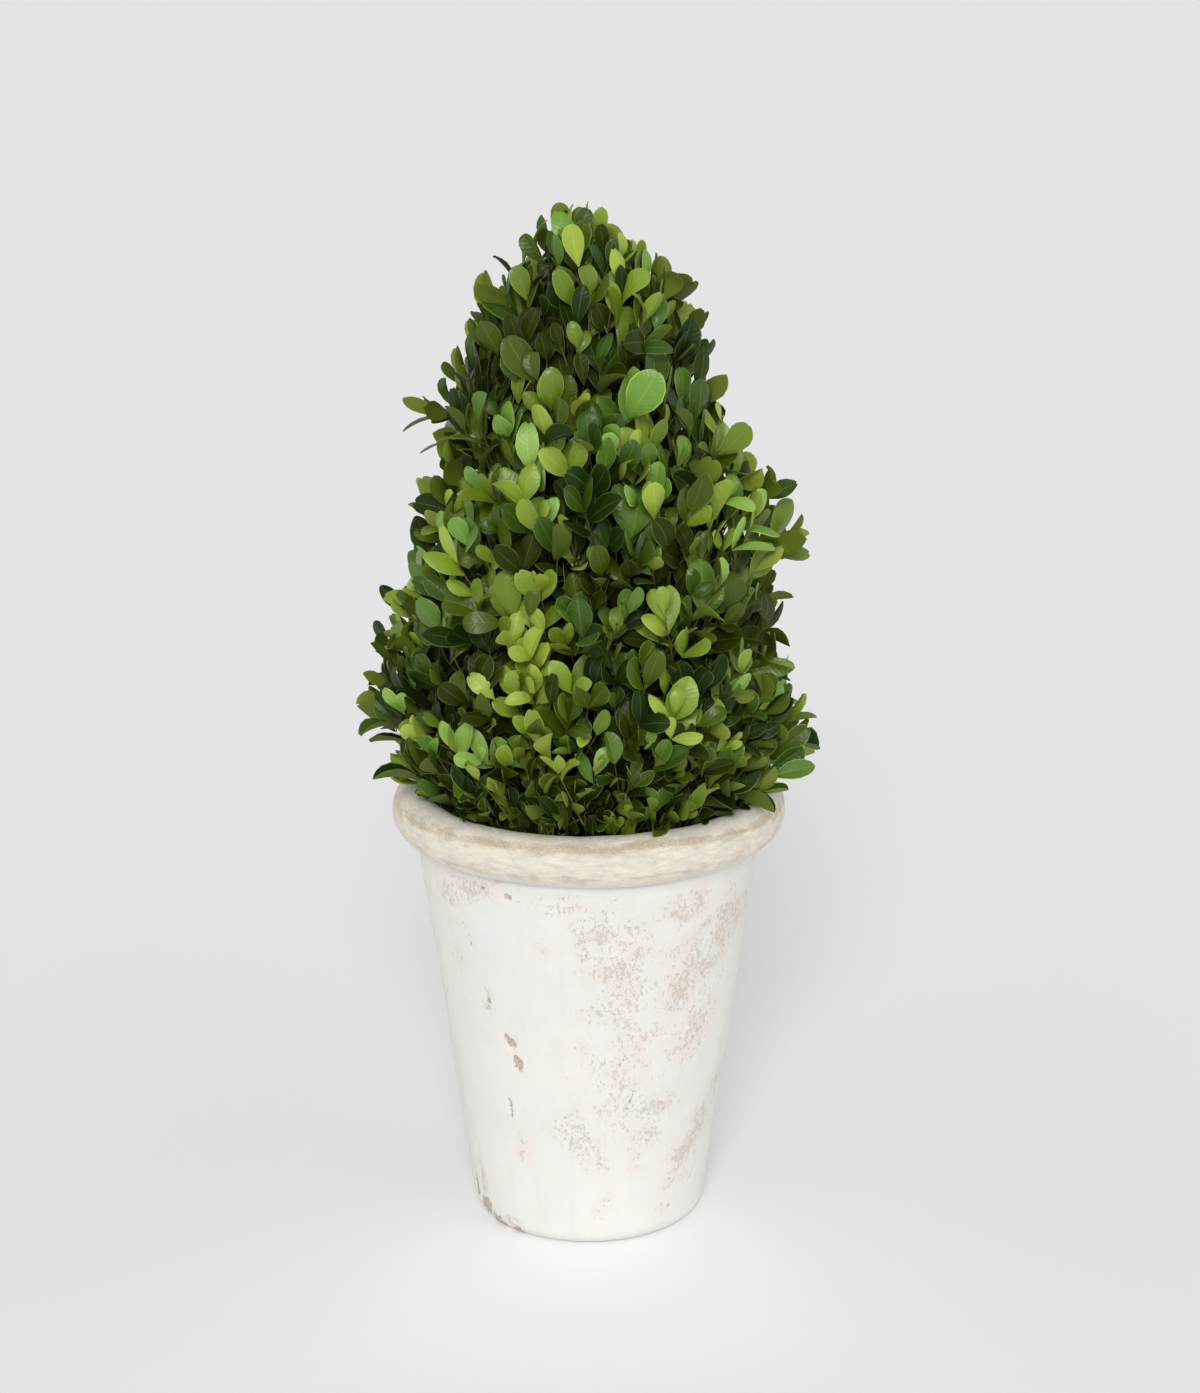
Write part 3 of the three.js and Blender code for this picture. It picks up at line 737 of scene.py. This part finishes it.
class Shoots:
    """The sprigs of the whole crown: tip, direction and lightness of each, and the mass it is in."""

    def __init__(self, masses):
        face, normal, self.mass = sprig_places(masses)
        count = len(face)
        height = np.clip((face[:, 2] - CROWN_LOW) / (CROWN_HIGH - CROWN_LOW), 0, 1)
        in_mouth = under(face, -4, 16)
        rise = RISE_AT_RIM + (RISE_AT_TOP - RISE_AT_RIM) * height
        rise = rise + 10 * smooth(height, 0.6, 0.95) + 4 * in_mouth
        rise += rng.normal(0, RISE_VARIES, count)
        depth = np.clip(rng.normal(USUAL_DEPTH, DEPTH_VARIES, count), 7, 22)
        depth -= 3 * smooth(height, 0.45, 0.75) + 9 * in_mouth
        rightwards = np.maximum(np.sin(np.radians(degrees_right(face))), 0)
        depth += (3 + 12 * rightwards) * smooth(height, 0.85, 1)  # the top is a little to the left
        depth -= 5 * (rng.random(count) < 0.05)  # a few stand out
        # Half way up and at the top the crown is lighter, between them darker.
        light = USUAL_LIGHT + 0.3 * bell(height, 0.46, 0.15) + 0.2 * smooth(height, 0.82, 0.95)
        light -= 0.4 * bell(height, 0.72, 0.09)
        warm = rng.random(count)
        for (lighter, warmer), share in near(TINTED, face):
            light += lighter * share
            warm += warmer * share
        self.vigour = np.clip(rng.normal(1, 0.14, count), 0.68, 1.25)
        self.vigour *= 1 - 0.24 * under(face, 0, 130)
        self.vigour *= 1 - 0.2 * smooth(height, 0.7, 0.95)
        self.twist = rng.uniform(0, np.pi, count)
        lower = under(face, 70, 130)
        self.light = light - 0.45 * lower + rng.normal(0, LIGHT_VARIES + 0.4 * lower, count)
        self.rank = rng.random(count)
        few = len(NOTABLE)
        stands_out, *listed, twist = np.array(NOTABLE, dtype=float).T[2:]
        self.rank[:few] = -1
        depth[:few] = USUAL_DEPTH - stands_out
        rise[:few], self.light[:few], warm[:few], self.vigour[:few] = listed
        self.twist[:few] = np.radians(twist)
        self.spread = 1 - 0.3 * smooth(height, 0.45, 0.8)
        self.low = under(face, 10, 58)
        self.internode = np.clip(rng.normal(6.4, 1.3, count), 3.8, 9) * MM
        self.warmth = warm > 0.45
        self.outwards = unit(face * (1, 1, 0))
        rise = np.radians(rise)[:, None]
        ahead = self.outwards * np.cos(rise) + UP * np.sin(rise)
        self.direction = unit(ahead + 0.15 * normal + rng.normal(0, 0.17, (count, 3)))
        inwards = -unit(np.stack([*normal[:, :2].T, np.maximum(normal[:, 2], -0.1)], axis=1))
        self.tip = face + inwards * depth[:, None] * MM
        leaf_tops = self.tip[:, 2] + self.direction[:, 2] * self.vigour * LEAF_LENGTH * 0.85
        self.tip[:, 2] -= np.maximum(leaf_tops - CROWN_HIGH - 3 * MM, 0)

    def at(self, back):
        """The points of the sprigs' stems that are this far behind their tips."""
        back = np.broadcast_to(back, len(self.tip))[:, None]
        return self.tip - self.direction * back - UP * (back / SPRIG_LENGTH) ** 2 * BOW


# -------------------- twigs
THICKENING = 2.7  # the power of the radii that a fork keeps


def grow(heap, start, heading, sprigs, lines, thickest):
    """A twig from start that forks until each fork carries one sprig. Returns its radius there."""
    if len(sprigs) == 1:
        line = lines[sprigs[0]]
        reach = np.linalg.norm(line[0] - start)
        lead = bezier(start, start + heading * reach * 0.35,
                      line[0] - unit(line[1] - line[0]) * reach * 0.4, line[0], 5)
        whole = np.concatenate([lead[:-1], line])
        radii = np.linspace(TWIG_RADIUS, TWIG_RADIUS * 0.55, len(whole))
        radii[-1] = 0.05 * MM
        heap.rings(tube(whole, radii, 5))
        return TWIG_RADIUS
    bases = np.array([lines[i][0] for i in sprigs])
    middle = bases.mean(0)
    away = middle - start
    fork = start + away * rng.uniform(0.3, 0.5) + rng.normal(0, 0.04, 3) * np.linalg.norm(away)
    spread = bases - middle
    widest = np.linalg.svd(spread, full_matrices=False)[2][0]
    order = np.argsort(spread @ widest)
    half = len(order) // 2
    onwards = unit(middle - fork)
    radii = [
        grow(heap, fork, unit(onwards + way * widest), [sprigs[i] for i in part], lines, thickest)
        for way, part in ((-0.5, order[:half]), (0.5, order[half:]))
    ]
    radius = min(thickest, sum(r**THICKENING for r in radii) ** (1 / THICKENING))
    reach = np.linalg.norm(fork - start)
    limb = bezier(start, start + heading * reach * 0.4, fork - onwards * reach * 0.4, fork, 5)
    heap.rings(tube(limb, np.linspace(radius * 1.05, max(radii), 5), 6))
    return radius


# -------------------- leaves
# Each pair of leaves along a sprig: how many internodes behind the tip it sits, how far its leaves
# spread from the stem, in degrees, and their size. The last two pairs show only in gaps.
PAIRS = [
    (0.05, 20, 0.84), (0.8, 32, 0.98), (1.75, 42, 1.0),
    (2.7, 50, 0.98), (3.7, 56, 0.9), (4.8, 60, 0.85),
]
OUTER_PAIRS = 4
# Where the rows of a fine blade lie, as shares of its part below and above the widest place, and
# the columns across it: edge, margin, midrib, midrib, margin, edge.
FINE_ROWS = (np.array([0, 0.12, 0.36, 0.68, 1.0]), np.array([0.45, 0.75, 0.93, 1.0]))
FINE_COLUMNS = np.array([-1, -0.93, -0.04, 0.04, 0.93, 1])
COARSE_ROWS = (np.array([0, 0.35, 1.0]), np.array([0.7, 1.0]))
COARSE_COLUMNS = np.array([-1.0, 0, 1.0])
UNDER_COLUMNS = np.array([-1, -0.5, 0, 0.5, 1])
CUT_SHARE = 0.14  # a cut counts up to this square of the distance in spans; the outline is at 0.25
AT_ONCE = 40000  # pairs of leaves that are tested together


class Leaves:
    """Arrays that say where each leaf is and how it is shaped, one row for each leaf."""

    def __init__(self, facts):
        self.facts = facts
        for name, values in facts.items():
            setattr(self, name, values)

    def only(self, chosen):
        return Leaves({name: values[chosen] for name, values in self.facts.items()})


def one_side(shoots, number, start, ahead, out):
    """One leaf on every sprig, each in the pair of this number and on the side where out points."""
    count = len(shoots.tip)
    _, spread, size = PAIRS[number]
    # The tip pair is young and lighter. Pairs further back are darker, for their age and as painted
    # shade within the crown, and the inner pairs are two levels darker still, painted shade.
    age_and_shade = 0.4 if number == 0 else -0.14 * number - 2 * (number >= OUTER_PAIRS)
    angle = np.radians(spread) * shoots.spread + rng.normal(0, 0.15, count)
    axis = ahead * np.cos(angle)[:, None] + out * np.sin(angle)[:, None]
    axis = unit(axis + 0.35 * UP)
    facing = ahead + 0.25 * UP + shoots.outwards * (0.55 - 0.25 * shoots.low[:, None])
    facing += rng.normal(0, 0.22, (count, 3))
    length = LEAF_LENGTH * size * shoots.vigour * np.clip(rng.normal(1, 0.12, count), 0.65, 1.2)
    ratio = np.clip(rng.normal(LEAF_WIDTH, 0.06, count), 0.36, 0.64) * (1 - 0.16 * shoots.low)
    return dict(
        base=start + axis * 0.8 * MM, axis=axis, normal=across(facing, axis),
        length=length, width=length * ratio,
        bend=rng.normal(-0.5, 0.5, count) + 0.6 * shoots.low,
        cup=rng.normal(0.1, 0.35, count) + 0.8 * shoots.low,
        twist=rng.normal(0, 0.35, count),
        notch=np.maximum(rng.normal(-0.03, 0.03, count), -0.05) * (rng.random(count) < 0.55),
        widest=rng.uniform(0.52, 0.7, count),
        point=np.maximum(rng.random(count) ** 1.5, 0.8 * shoots.low * (rng.random(count) < 0.6)),
        # levels by which the margin is paler: the leaf's own pale edge plus a painted highlight on
        # edges that catch light, most in the low crown
        edge=(shoots.low * rng.uniform(0.4, 2.2, count) + rng.uniform(0, 1.5, count)).astype(int),
        light=shoots.light + age_and_shade + rng.normal(0, 0.4, count),
        warm=shoots.warmth | (number > 2),
        mass=shoots.mass, pair=np.full(count, number), rank=shoots.rank,
    )


def leaves_of(shoots):
    """Opposite pairs of leaves along every sprig, each pair at right angles to the one before."""
    made = []
    count = len(shoots.tip)
    for number, (internodes, _, _) in enumerate(PAIRS):
        back = internodes * shoots.internode
        start = shoots.at(back)
        ahead = unit(shoots.at(back - 1 * MM) - start)
        reference = across(np.broadcast_to([0.2, -0.1, 1.0], (count, 3)), ahead)
        turn = shoots.twist + number * np.pi / 2 + rng.normal(0, 0.22, count)
        for side in (0, np.pi):
            out = turned(reference, ahead, turn + side)
            made.append(one_side(shoots, number, start, ahead, out))
    leaves = Leaves({name: np.concatenate([part[name] for part in made]) for name in made[0]})
    leaves = leaves.only(clear_of_the_rim(outlines(leaves)))
    return leaves.only(uncrossed(leaves))


def cut(points, cutters):
    """For each pair of leaves, whether the second one's blade passes through the first one's.

    The first one is taken as a curved sheet that bows evenly along and across.
    """
    chord = points[:, -1, 1] - points[:, 0, 1]
    span = points[:, 2, 2] - points[:, 2, 0]
    normal = unit(np.cross(chord, span))
    middle = points[:, 2, 1]
    offset = cutters - middle[:, None, None]
    x = (offset * span[:, None, None]).sum(-1) / (span**2).sum(-1)[:, None, None]
    y = (offset * chord[:, None, None]).sum(-1) / (chord**2).sum(-1)[:, None, None]
    along, sideways = (
        ((part - middle[:, None]) * normal[:, None]).sum(-1).mean(1)[:, None, None]
        for part in (points[:, [0, -1], 1], points[:, 2, [0, 2]])
    )
    z = (offset * normal[:, None, None]).sum(-1) - 4 * (along * y**2 + sideways * x**2)
    found = ((np.abs(z) < LEAF_THICKNESS) & (x**2 + y**2 < CUT_SHARE)).any((1, 2))
    for axis in (1, 2):
        (xa, xb), (ya, yb), (za, zb) = (
            (np.delete(v, -1, axis), np.delete(v, 0, axis)) for v in (x, y, z)
        )
        share = za / (za - zb + 1e-30)
        inside = (xa + (xb - xa) * share) ** 2 + (ya + (yb - ya) * share) ** 2 < CUT_SHARE
        found |= ((za * zb < 0) & inside).any((1, 2))
    return found


def uncrossed(leaves):
    """Which leaves to keep so that none cuts through another: those near the tips come first.

    The inner leaves may cut through each other, as they only close the gaps.
    """
    inner = leaves.pair >= OUTER_PAIRS
    points = outlines(leaves)
    centre = points[:, :, 1].mean(1)
    tree = kdtree.KDTree(len(centre))
    for i, place in enumerate(centre):
        tree.insert(place, i)
    tree.balance()
    pairs = np.array([(i, j) for i, place in enumerate(centre)
                      for _, j, _ in tree.find_range(place, LEAF_LENGTH * 0.85) if i != j])
    pairs = pairs[~inner[pairs].all(1)]
    rivals = [[] for _ in centre]
    for part in np.array_split(pairs, 1 + len(pairs) // AT_ONCE):
        for i, j in part[cut(points[part[:, 0]], points[part[:, 1]])]:
            rivals[i].append(j)
            rivals[j].append(i)
    kept = np.zeros(len(centre), dtype=bool)
    for i in np.argsort(leaves.pair * 0.5 + leaves.rank * 2.5 + 10 * inner):
        kept[i] = not kept[rivals[i]].any()
    return kept


def around_the_rim(points, clearance):
    """How far each point is from the rim's middle, 1 being at its surface, its radius and offset."""
    radius = np.hypot(points[..., 0], points[..., 1])
    side = (radius - RIM_RADIUS) / (RIM_HALF_WIDTH + clearance)
    up = (points[..., 2] - RIM_MIDDLE) / (RIM_HALF_HEIGHT + clearance)
    return np.hypot(side, up), radius, side, up


def clear_of_the_rim(points):
    """Which leaves could be there: none deep in the rim, and none under it or in the wall."""
    inside, _, side, up = around_the_rim(points, 0.8 * MM)
    wrong = (inside < 0.6) | ((up < 0.2) & (side > -1) & (side < 1.6))
    return ~wrong.any((1, 2))


def off_the_rim(points, clearance):
    """Moves points that lie just inside the pot's rim out to its surface."""
    inside, radius, *_ = around_the_rim(points, clearance)
    grow_by = np.where(inside < 1, 1 / np.maximum(inside, 0.3), 1)
    scale = (RIM_RADIUS + (radius - RIM_RADIUS) * grow_by) / np.maximum(radius, 1e-9)
    height = RIM_MIDDLE + (points[..., 2] - RIM_MIDDLE) * grow_by
    return np.stack([points[..., 0] * scale, points[..., 1] * scale, height], axis=-1)


def blade(leaves, rows, columns, thickness, groove):
    """Points of one side of every leaf: rows along it and columns across, as [leaf, row, column].

    With them comes how far each point is from the midrib and along the leaf.
    """
    facts = ("length", "width", "bend", "cup", "twist", "notch", "widest", "point")
    length, width, bend, cup, twist, notch, widest, point = (
        getattr(leaves, name)[:, None, None] for name in facts
    )
    below, above = rows[0][:, None], rows[1][:, None]
    u = columns[None, None, :]
    t = np.concatenate([widest * below, widest + (1 - widest) * above], axis=1)
    # The outline swells to the widest place and closes in a round tip, or in a pointed one.
    shape_below = np.broadcast_to(np.sin(np.pi / 2 * below) ** 1.15, (len(widest), len(below), 1))
    shape_above = (1 - above ** (2.2 - 0.5 * point)) ** (0.52 + 0.3 * point)
    shape = np.concatenate([shape_below, shape_above], axis=1)
    lobes = 3 * np.maximum(-notch, 0) * smooth(t, 0.93, 1)
    half = width / 2 * (shape + lobes) + NARROWEST
    bend = np.where(np.abs(bend) < 1e-3, 1e-3, bend)
    along = length * (np.sin(bend * t) / bend + notch * (1 - np.abs(u)) * smooth(t, 0.9, 1))
    lift = length * (1 - np.cos(bend * t)) / bend
    axis, normal = leaves.axis[:, None, None], leaves.normal[:, None, None]
    side = np.cross(normal, axis)
    level = -np.sin(bend * t)[..., None] * axis + np.cos(bend * t)[..., None] * normal
    roll = (twist * t)[..., None]
    side_here = np.cos(roll) * side + np.sin(roll) * level
    level_here = -np.sin(roll) * side + np.cos(roll) * level
    fold = cup * half * np.abs(u) ** 1.4
    place = leaves.base[:, None, None] + axis * along[..., None] + normal * lift[..., None]
    place = place + side_here * (half * u)[..., None] + level_here * fold[..., None]
    raise_by = thickness * (1 - np.abs(u) ** 6) - groove * (np.abs(u) < 0.1)
    place = place + level_here * (raise_by * np.ones_like(half))[..., None]
    return place, np.stack(np.broadcast_arrays(half * np.abs(u), length * t, 0), axis=-1)


def outlines(leaves):
    """A coarse grid of points on every leaf, without thickness."""
    return blade(leaves, COARSE_ROWS, COARSE_COLUMNS, 0, 0)[0]


def leaf_mesh(heap, leaves, rows, top_columns, under_columns):
    """Adds the upper and the lower side of every leaf to a heap, with its tones."""
    count, tall = len(leaves.base), len(rows[0]) + len(rows[1])
    step = np.clip(np.floor(leaves.light), 0, LEAF_LEVELS - 1).astype(int)
    # The inner pairs take the shaded tones: painted shade deep in the crown.
    tone = np.where(leaves.pair < OUTER_PAIRS, 2 * step + leaves.warm, SHADED_SLOT + (step > 0))
    for columns, upper in ((top_columns, True), (under_columns, False)):
        fine = columns is FINE_COLUMNS
        depth = LEAF_THICKNESS if upper else -LEAF_THICKNESS
        points, marks = blade(leaves, rows, columns, depth, GROOVE * fine)
        points = off_the_rim(points, 1.2 * MM if upper else 0.8 * MM)
        faces = grid(tall, len(columns))
        middle = np.tile(np.abs(columns[1:] + columns[:-1]) / 2, tall - 1)
        if upper:
            # Margins paler by these levels: the leaf's own pale edge plus a painted highlight where
            # edges catch light.
            margin_pale_and_lit = np.minimum(step + leaves.edge, LEAF_LEVELS - 1)
            slots = np.where(fine & (middle < 0.1), RIB_AND_LIT_MARGIN_SLOT + step[:, None], tone[:, None])
            slots = np.where(fine & (middle > 0.9), RIB_AND_LIT_MARGIN_SLOT + margin_pale_and_lit[:, None], slots)
        else:
            faces = faces[:, ::-1]
            slots = np.broadcast_to(UNDER_SLOT + (step[:, None] + 1) // 2, (count, len(faces)))
        quads = faces[None] + (np.arange(count) * tall * len(columns))[:, None, None]
        heap.add(points.reshape(-1, 3), quads.reshape(-1, 4), slots.ravel(), marks.reshape(-1, 3))


def make_crown(bark):
    masses = nodes_named("foliage_")
    shoots = Shoots(masses)
    leaves = leaves_of(shoots)
    stem_end = make_stem(bark)
    lines = np.stack([shoots.at(back) for back in np.linspace(SPRIG_LENGTH, -0.5 * MM, 6)], axis=1)
    greens = leaf_materials()
    twig_bark = [plain("twig_bark", rgb(112, 104, 62), 0.7, 0.3)]
    for number, name in enumerate(masses):
        ring = name.removeprefix("foliage_")
        start, heading, radius = stem_end if ring == "tip" else make_bough("bough_" + ring, bark)
        heap = Heap()
        grow(heap, start, heading, list(np.flatnonzero(shoots.mass == number)), lines, radius)
        twigs = heap.piece("twigs_" + ring, twig_bark)
        heap = Heap()
        outer = (leaves.mass == number) & (leaves.pair < OUTER_PAIRS)
        inner = (leaves.mass == number) & (leaves.pair >= OUTER_PAIRS)
        leaf_mesh(heap, leaves.only(outer), FINE_ROWS, FINE_COLUMNS, UNDER_COLUMNS)
        leaf_mesh(heap, leaves.only(inner), COARSE_ROWS, COARSE_COLUMNS, COARSE_COLUMNS)
        sprays = heap.piece("leaves_" + ring, greens, sharp=50)
        for piece in (sprays, twigs):
            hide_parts(name)
            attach(piece, "root")


# -------------------- studio
CAMERA_PLACE = (5 * MM, -1221 * MM, 598 * MM)
CAMERA_PITCH = 16.4  # degrees below level
CAMERA_LENS = 74.95  # millimetres
CAMERA_SENSOR = 36
FLOOR_REACH = 60.0
SKY_STRENGTH = 0.4
# Far soft lamps, as [name, degrees right of the front, degrees above the floor, width, strength].
LAMPS = [
    ("key", -3, 32, 20, 1.45), ("fill", 0, 10, 60, 0.3),
    ("left", -80, 20, 90, 0.65), ("right", 78, 20, 90, 0.8),
]


def make_camera():
    data = bpy.data.cameras.new("camera")
    data.lens = CAMERA_LENS
    data.sensor_width = CAMERA_SENSOR
    camera = placed("camera", data)
    camera.location = CAMERA_PLACE
    camera.rotation_euler = (math.radians(90 - CAMERA_PITCH), 0, 0)
    bpy.context.scene.camera = camera


def make_floor():
    mesh = bpy.data.meshes.new("studio_floor")
    sides = ((-1, -1), (1, -1), (1, 1), (-1, 1))
    corners = [(x * FLOOR_REACH, y * FLOOR_REACH, 0) for x, y in sides]
    mesh.from_pydata(corners, [], [(0, 1, 2, 3)])
    mesh.materials.append(plain("studio_floor", rgb(247, 247, 247), 0.9, 0.2))
    floor = placed("studio_floor", mesh)


def make_light():
    world = bpy.data.worlds.new("studio")
    world.use_nodes = True
    sky = world.node_tree.nodes["Background"]
    sky.inputs["Color"].default_value = (1.0, 1.0, 1.0, 1.0)
    sky.inputs["Strength"].default_value = SKY_STRENGTH
    bpy.context.scene.world = world
    bpy.context.scene.view_settings.view_transform = "Standard"
    for name, degrees, elevation, width, strength in LAMPS:
        data = bpy.data.lights.new(name, "SUN")
        data.angle = math.radians(width)
        data.energy = strength
        lamp = placed(name, data)
        lamp.rotation_euler = (math.radians(90 - elevation), 0, math.radians(degrees))


make_camera()
make_floor()
make_light()
make_pot()
make_soil()
make_crown(bark_material())
